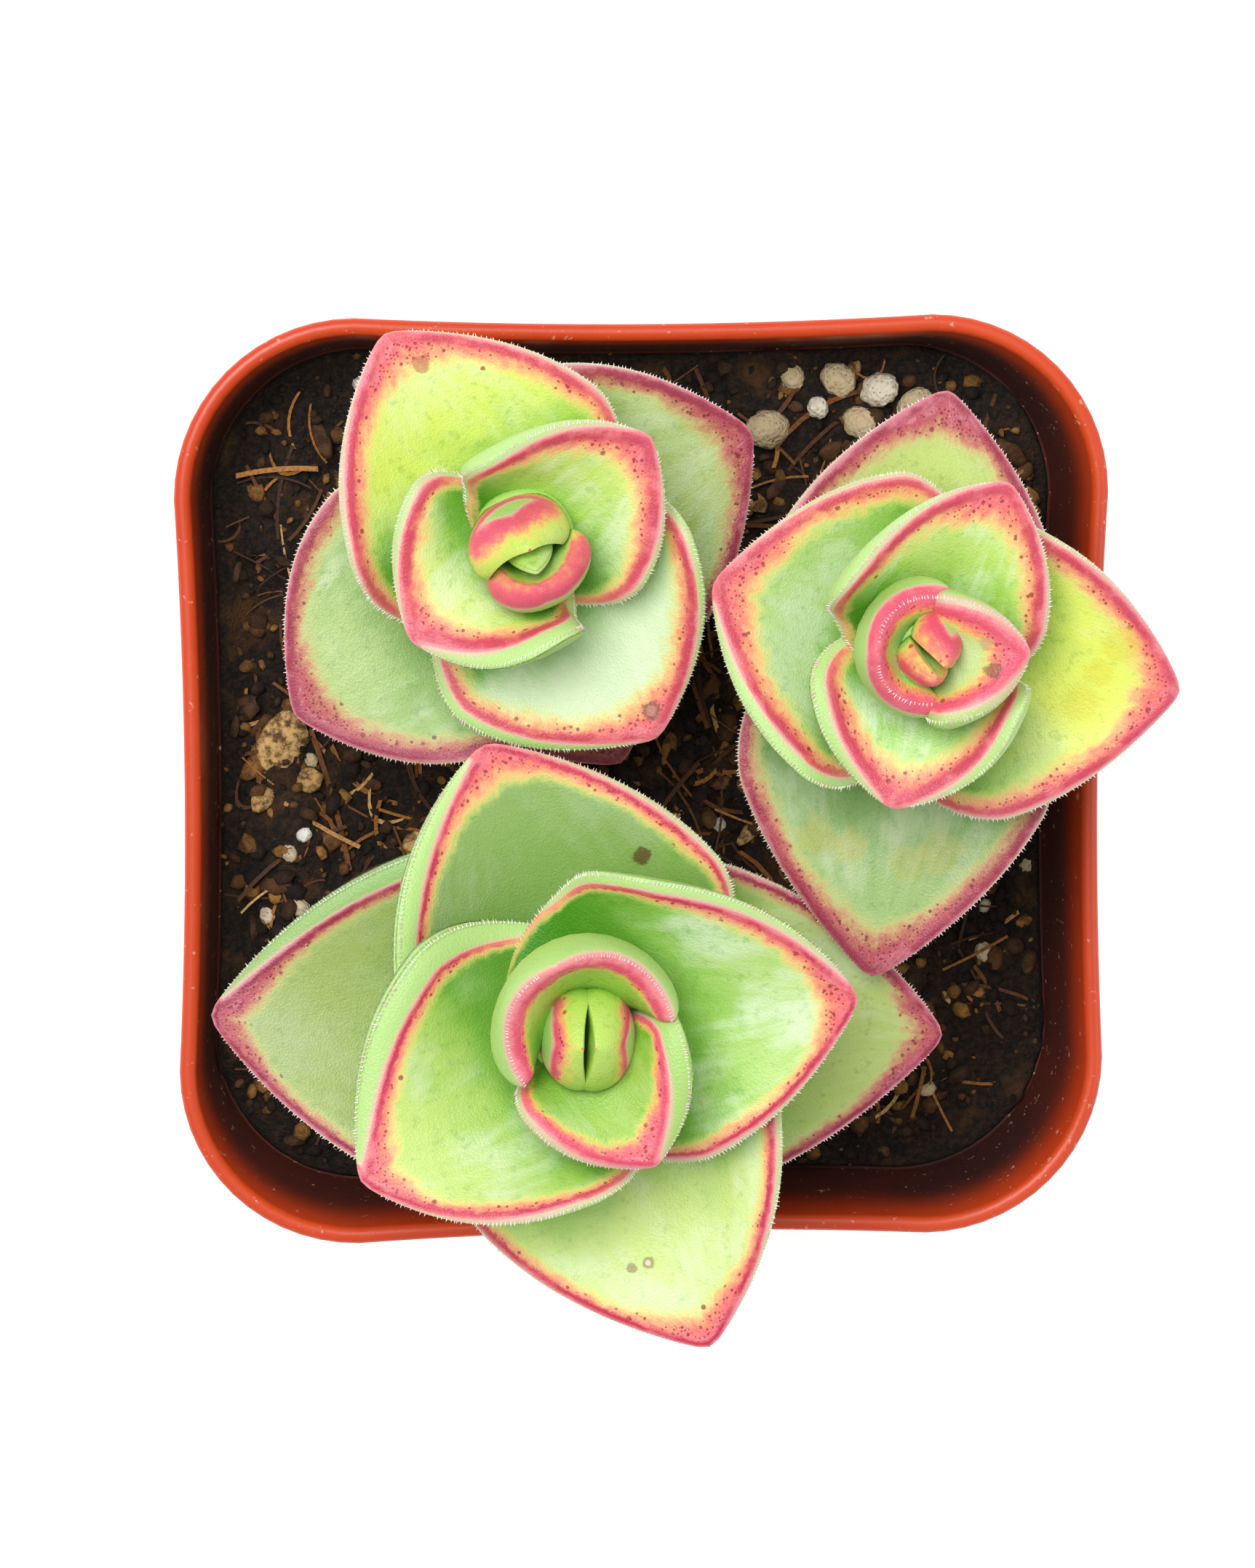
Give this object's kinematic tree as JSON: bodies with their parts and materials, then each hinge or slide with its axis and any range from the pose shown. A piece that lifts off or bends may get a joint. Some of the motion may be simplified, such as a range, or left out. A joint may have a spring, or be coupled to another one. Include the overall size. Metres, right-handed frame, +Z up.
{
  "type": "potted string of buttons succulent",
  "caption": "Small succulent with crossed pairs of thick red-edged leaves stacked on upright stems, growing in a square plastic nursery pot of gritty potting mix.",
  "frame": {"origin": "middle of the pot's underside", "axes": "+Z up; +Y away from a person who sees the front stem nearest to them; +X to their right, where the right stem stands"},
  "size_m": [0.061, 0.0631, 0.0877],
  "materials": {
    "pot_plastic": "satin",
    "potting_mix": "matte",
    "stem": "matte",
    "young_leaf": "satin",
    "leaf": "satin",
    "old_leaf": "satin"
  },
  "bodies": {
    "root": {"pot": "pot_plastic", "potting_mix": "potting_mix", "stem_back_left": "stem", "bud_back_left": "young_leaf", "leaves_back_left_1": "leaf", "leaves_back_left_2": "leaf", "leaves_back_left_3": "leaf", "leaves_back_left_4": "old_leaf", "leaves_back_left_5": "old_leaf", "stem_right": "stem", "bud_right": "young_leaf", "leaves_right_1": "leaf", "leaves_right_2": "leaf", "leaves_right_3": "leaf", "leaves_right_4": "old_leaf", "leaves_right_5": "old_leaf", "leaves_right_6": "old_leaf", "leaves_right_7": "old_leaf", "stem_front": "stem", "bud_front": "young_leaf", "leaves_front_1": "leaf", "leaves_front_2": "leaf", "leaves_front_3": "leaf", "leaves_front_4": "old_leaf", "leaves_front_5": "old_leaf", "leaves_front_6": "old_leaf"}
  },
  "joints": []
}
